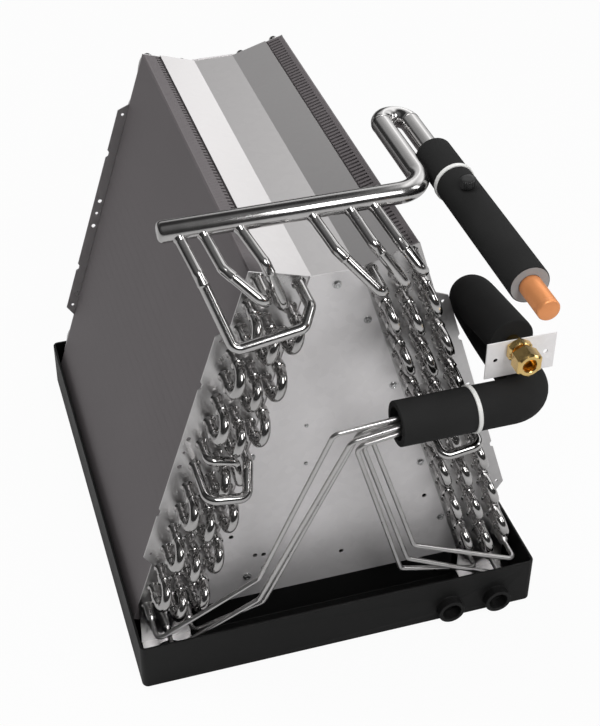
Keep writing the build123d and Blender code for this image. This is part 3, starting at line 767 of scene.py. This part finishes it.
def cable_tie(name, node, origin, axis, foam_radius, lean):
    """A band with rounded edges, leaning a little on the sleeve, and its square lock."""
    skin = Skin()
    width, thick = 4.0 * mm, 1.3 * mm
    axis = np.array(axis, float)
    helper = np.array([0, 0, 1.0])
    side = np.cross(axis, helper)
    angle = np.linspace(0, 2 * pi, 64, endpoint=False)[:, None, None]
    profile = np.array([(-0.5, 0.0), (-0.5, 0.7), (-0.4, 1.0), (0.4, 1.0), (0.5, 0.7), (0.5, 0.0)])
    along = profile[:, 0][None, :, None] * width + lean * np.sin(angle)
    radius = foam_radius - 0.3 * mm + profile[:, 1][None, :, None] * (thick + 0.3 * mm)
    points = np.array(origin) + along * axis + radius * (np.cos(angle) * helper + np.sin(angle) * side)
    around, ring = len(points), len(profile)
    quads = grid_quads(around, ring)
    last = (around - 1) * ring
    here = np.arange(ring)
    closing = np.stack([last + here, last + (here + 1) % ring, (here + 1) % ring, here], -1)
    skin.add(points, np.concatenate([quads, closing])[:, ::-1])
    lock = np.array([(a, h, w) for a in (-3, 3) for h in (-0.2, 4.6) for w in (-3.4, 3.4)]) * mm
    height = foam_radius + lock[:, 1:2]
    corners = np.array(origin) + lock[:, :1] * axis - height * helper + lock[:, 2:] * side
    skin.add(corners, [[2, 3, 1, 0], [5, 7, 6, 4], [1, 5, 4, 0],
                       [6, 7, 3, 2], [4, 6, 2, 0], [3, 7, 5, 1]])
    skin.piece(name, node, "tie_nylon", tie_nylon)


tie_low, tie_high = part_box("suction_cable_tie")
cable_tie("suction_tie", "suction_cable_tie", (suction_x, (tie_low.y + tie_high.y) / 2, suction_z),
          (0, -1, 0), suction_foam_radius, 0.8 * mm)
cable_tie("distributor_tie", "distributor_cable_tie", (run_tie, run_y, run_z),
          (1, 0, 0), liquid_foam_radius, 0.9 * mm)

port_lean = radians(8)
port_axis = (-sin(port_lean), 0, cos(port_lean))
port_origin = (suction_x, short_low.y - 34 * mm, suction_z)
stem = suction_foam_radius + 5 * mm
skin = Skin()
turned(skin, port_origin, port_axis, [(suction_radius - 0.3 * mm, 4 * mm), (stem, 4 * mm)], 20)
skin.piece("port_stem", "service_port", "brass", brass)
skin = Skin()
foot = stem - 4.5 * mm
turned(skin, port_origin, port_axis,
       [(foot, 4 * mm), (foot, 6.2 * mm), (foot + 0.5 * mm, 6.8 * mm), (foot + 1.2 * mm, 6.8 * mm),
        (foot + 1.3 * mm, 7.2 * mm), (foot + 6.4 * mm, 7.2 * mm), (foot + 7.6 * mm, 6.4 * mm),
        (foot + 8.0 * mm, 5.4 * mm), (foot + 8.0 * mm, 3.0 * mm)], 144, lobes=24, lobe_depth=0.6 * mm)
skin.piece("port_cap", "service_port_cap", "cap_plastic", cap_plastic, sharp=50)

# ---- Distributor and feeder tubes -----------------------------------------------------------------
distributor_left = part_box("distributor")[0].x
skin = Skin()
turned(skin, (distributor_left, run_y, run_z), (1, 0, 0),
       [(0, 14.2 * mm), (0.8 * mm, 15 * mm), (13 * mm, 15 * mm), (25 * mm, 7 * mm), (32 * mm, 7 * mm)])
skin.piece("distributor_body", "distributor", "tube_metal", brass)

low_y = coil_front - 43.8 * mm
back_y = coil_front - 33.3 * mm
feeder_turns = (
    (90, (-22, 0, 293), (-82, low_y, 106), low_y, (LEFT, OUTER)),
    (150, (-8, -6, 286), (-82, low_y, 78), low_y, (LEFT, MIDDLE)),
    (30, (3, 6, 283), (-76, back_y - 4 * mm, 66), back_y, (LEFT, INNER)),
    (330, (13, 8, 280), (72, low_y, 105), low_y, (RIGHT, OUTER)),
    (270, (4, 0, 275.5), (66, low_y, 89), low_y, (RIGHT, MIDDLE)),
    (210, (-4, -6, 279), (60, low_y, 77), back_y, (RIGHT, INNER)),
)
for number, (turn, top, bottom, turn_back_y, (side, row)) in enumerate(feeder_turns, 1):
    end = tube_place(side, row, tubes_per_row - 1)
    turn = radians(turn)
    start = (distributor_left, run_y + 7 * mm * cos(turn), run_z + 7 * mm * sin(turn))
    corners = [start, (start[0] - 6 * mm, start[1], start[2]),
               (top[0] * mm, run_y + top[1] * mm, top[2] * mm), (bottom[0] * mm, bottom[1], bottom[2] * mm),
               (end[0], turn_back_y, end[1]), (end[0], coil_front, end[1])]
    route = rounded_route(corners, 8 * mm)
    length = travelled(route)[-1]
    stub = [(length - 20 * mm, feeder_radius), (length - 19 * mm, 3.4 * mm),
            (length - 17.5 * mm, tube_radius), (length - 2.6 * mm, tube_radius),
            (length - 1.6 * mm, 5.3 * mm), (length - 0.7 * mm, 6.2 * mm), (length, 6.6 * mm)]
    skin = Skin()
    swept(skin, route, [(0, feeder_radius)] + stub, 14)
    skin.piece(f"feeder_{number}", f"feeder_tube_{number}", "tube_metal", feeder_metal)

# ---- Fitting and screws --------------------------------------------------------------------------------
fitting = (fitting_x, connection_y, fitting_z)
forward = (0, -1, 0)
neck = 6.4 * mm
skin = Skin()
turned(skin, fitting, forward, [(-10 * mm, tube_radius), (-10 * mm, neck - 0.5 * mm), (-9.5 * mm, neck),
                                (sheet, neck), (sheet + 8 * mm, neck), (sheet + 9 * mm, neck - 0.7 * mm),
                                (14 * mm, neck - 0.7 * mm), (14 * mm, 3.2 * mm), (4 * mm, 3.2 * mm)])
hexagon(skin, fitting, forward, 20.6 * mm, sheet, sheet + 8 * mm, 1.1 * mm, neck - 0.7 * mm)
skin.piece("union_body", "flare_union", "brass", brass, sharp=28)
skin = Skin()
hexagon(skin, fitting, forward, 22.2 * mm, 12.5 * mm, 28 * mm, 1.3 * mm, neck)
skin.piece("union_nut", "flare_nut", "brass", brass, sharp=28)

screws_by_slab = ((RIGHT, 7.0, 55.2), (LEFT, 7.0, 55.2), (RIGHT, 3.8, 196.8), (LEFT, 3.8, 196.8),
                  (RIGHT, 3.1, 332.8), (LEFT, 3.1, 332.8), (RIGHT, 4.2, 248.7), (RIGHT, 4.7, 140.7))
screw_places = [(*on_slab(side, slab_thickness + inward * mm, drop * mm), 0.9)
                for side, inward, drop in screws_by_slab]
screw_places += [(1.7 * mm, 398 * mm, 1.0), (-24 * mm, 245 * mm, 0.5), (-24 * mm, 198.5 * mm, 0.5),
                 (-82.4 * mm, 65.4 * mm, 1.0)]
skin = Skin()
plate_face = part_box("front_delta_plate")[0].y
for x, z, size in screw_places:
    origin = (x, plate_face, z)
    one = size * mm
    turned(skin, origin, forward, [(0, 4.2 * one), (0.4 * one, 4.2 * one), (0.6 * one, 4.0 * one),
                                   (0.65 * one, 2.8 * one)], 24)
    hexagon(skin, origin, forward, 5.6 * one, 0.5 * one, 2.6 * one, 0.2 * one, 1.2 * one, 36)
    turned(skin, origin, forward, [(1.8 * one, 2.0 * one), (1.9 * one, 1.0 * one)], 12)
skin.piece("plate_screws", "sheet_screws", "screw_steel", screw_steel, sharp=30)

# ---- Floor, light and camera -------------------------------------------------------------------------
floor_mesh = bpy.data.meshes.new("floor")
floor_mesh.from_pydata([(-6, -6, 0), (6, -6, 0), (6, 6, 0), (-6, 6, 0)], [], [[0, 1, 2, 3]])
floor = bpy.data.objects.new("floor", floor_mesh)
bpy.context.scene.collection.objects.link(floor)
f = Finish("pale_floor")
camera_ray = f.node("ShaderNodeLightPath", output="Is Camera Ray")
glossy_ray = f.node("ShaderNodeLightPath", output="Is Glossy Ray")
matt = f.node("ShaderNodeBsdfDiffuse", {}, {"Color": grey(0.60)})
glow = f.node("ShaderNodeEmission", {}, {"Color": grey(1.0), "Strength": 1.0})
# Under the coil the floor doesn't glow, so the openings in the plates stay dark.
place = f.place()
across = f.axis(place, "X").maths("ABSOLUTE") > pan_high.x - 30 * mm
along = f.axis(place, "Y").maths("ABSOLUTE") > pan_high.y - 33 * mm
outside = across.maths("MAXIMUM", along)
shown = f.node("ShaderNodeMixShader", {}, (outside * (camera_ray * 0.95 + glossy_ray * 0.1), matt, glow))
f.node("ShaderNodeOutputMaterial", {}, {"Surface": shown})
floor_mesh.materials.append(f.material)

world = bpy.data.worlds.new("studio")
bpy.context.scene.world = world
world.use_nodes = True
sky = Finish("studio", world.node_tree)
look = sky.node("ShaderNodeTexCoord", output="Generated")
across = sky.axis(look, "X")
inward = sky.axis(look, "Y")
height = sky.axis(look, "Z")
# What metal mirrors: behind the coil a wall that is brighter to the right and fades upwards,
# with a tall window at its right; in front of it a dark room.
behind = (inward * 3 + 0.5).clamped()
back_wall = ((height - 0.30) * 8).clamped() * (1.36 + across - height * 1.3)
back_wall = back_wall - (height - 0.66).clamped() * 3
window = ((across - 0.30) * 8).clamped() * (0.74 - across) * 6
back_wall = back_wall.maths("MAXIMUM", window)
front_wall = 0.03 + (height - 0.40).clamped() * 0.3
room_tone = front_wall * (1 - behind) + back_wall * behind
room_tone = room_tone.maths("MAXIMUM", 0.04)
room_colour = sky.node("ShaderNodeCombineXYZ", {}, (room_tone, room_tone, room_tone))
room = sky.node("ShaderNodeBackground", {}, {"Color": room_colour, "Strength": 1.0})
even = sky.node("ShaderNodeBackground", {}, {"Color": grey(1.0), "Strength": 0.42})
white = sky.node("ShaderNodeBackground", {}, {"Color": grey(1.0), "Strength": 1.0})
in_metal = sky.node("ShaderNodeLightPath", output="Is Glossy Ray")
seen = sky.node("ShaderNodeLightPath", output="Is Camera Ray")
lit = sky.node("ShaderNodeMixShader", {}, (in_metal, even, room))
both = sky.node("ShaderNodeMixShader", {}, (seen, lit, white))
sky.node("ShaderNodeOutputWorld", {}, {"Surface": both})


def softbox(name, place, target, width, height, power, mirrored=True):
    """A flat lamp at place, turned to the target; mirrored False keeps it out of reflections."""
    lamp = bpy.data.lights.new(name, "AREA")
    lamp.shape, lamp.size, lamp.size_y, lamp.energy = "RECTANGLE", width, height, power
    made = bpy.data.objects.new(name, lamp)
    made.location = place
    made.visible_glossy = mirrored
    made.rotation_euler = (Vector(target) - Vector(place)).to_track_quat("-Z", "Y").to_euler()
    bpy.context.scene.collection.objects.link(made)


softbox("key", (0.45, -1.9, 2.1), (0, 0, 0.25), 0.9, 1.2, 27)
softbox("fill", (2.0, -0.9, 1.4), (0, 0, 0.25), 0.5, 1.2, 8)
softbox("top", (-0.55, 0.5, 2.5), (0, 0, 0.3), 0.6, 1.4, 26, False)

azimuth, elevation, roll = radians(-16.27), radians(36.75), radians(-0.22)
view_centre = np.array([0, 0, 236.2 * mm])
view_distance = 1507.1 * mm
back = np.array([sin(azimuth) * cos(elevation), -cos(azimuth) * cos(elevation), sin(elevation)])
level = unit(np.cross(-back, [0, 0, 1.0]))
above = np.cross(level, -back)
right = cos(roll) * level + sin(roll) * above
up = -sin(roll) * level + cos(roll) * above
camera_data = bpy.data.cameras.new("camera")
camera_data.lens = 73.64
camera_data.shift_x, camera_data.shift_y = 0.0384, -0.0763
camera_data.clip_end = 30
camera = bpy.data.objects.new("camera", camera_data)
turn = Matrix((right, up, back)).transposed().to_4x4()
camera.matrix_world = Matrix.Translation(Vector(view_centre + back * view_distance)) @ turn
bpy.context.scene.collection.objects.link(camera)
bpy.context.scene.camera = camera
bpy.context.scene.view_settings.view_transform = "Standard"
